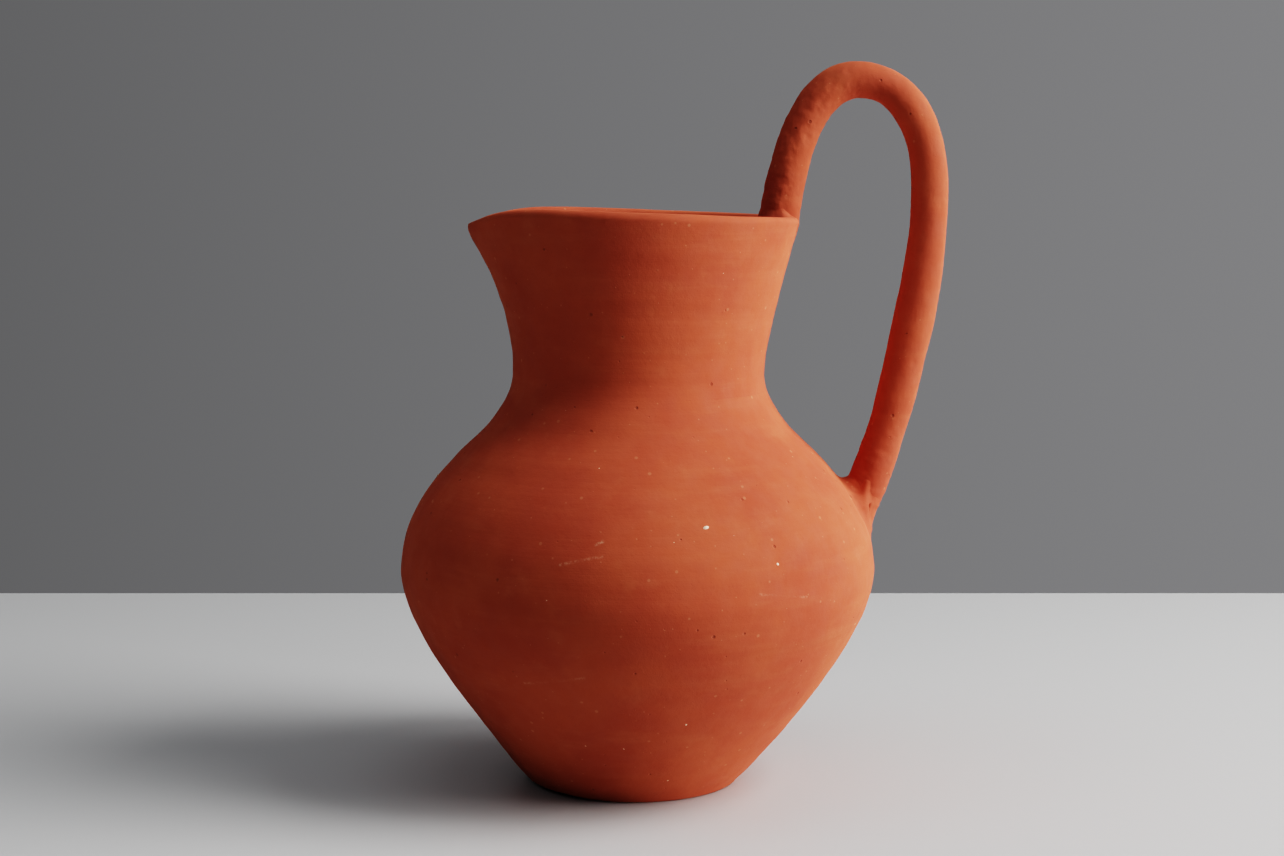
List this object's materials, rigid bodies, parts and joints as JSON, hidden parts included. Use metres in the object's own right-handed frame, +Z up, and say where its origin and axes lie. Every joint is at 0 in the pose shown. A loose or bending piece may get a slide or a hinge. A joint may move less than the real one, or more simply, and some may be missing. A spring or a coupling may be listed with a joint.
{
  "type": "pitcher",
  "caption": "Round-bellied unglazed terracotta pitcher with a narrow flat base, a flared neck with a pulled spout, and a tall looped coil handle from rim to shoulder.",
  "frame": {"origin": "middle of the flat base, on the surface that the pitcher stands on", "axes": "+Z up along the vessel's turning axis, -X towards the spout, +X towards the handle"},
  "size_m": [0.1931, 0.1678, 0.2542],
  "materials": {
    "belly_terracotta": "matt unglazed, fine throwing lines",
    "neck_terracotta": "matt unglazed, fine throwing lines",
    "handle_terracotta": "matt unglazed, pitted and finger-smoothed",
    "luting_clay": "matt unglazed, finger-smeared"
  },
  "bodies": {
    "root": {"belly": "belly_terracotta", "neck": "neck_terracotta", "handle": "handle_terracotta", "handle_top_clay": "luting_clay", "handle_bottom_clay": "luting_clay"}
  },
  "joints": []
}
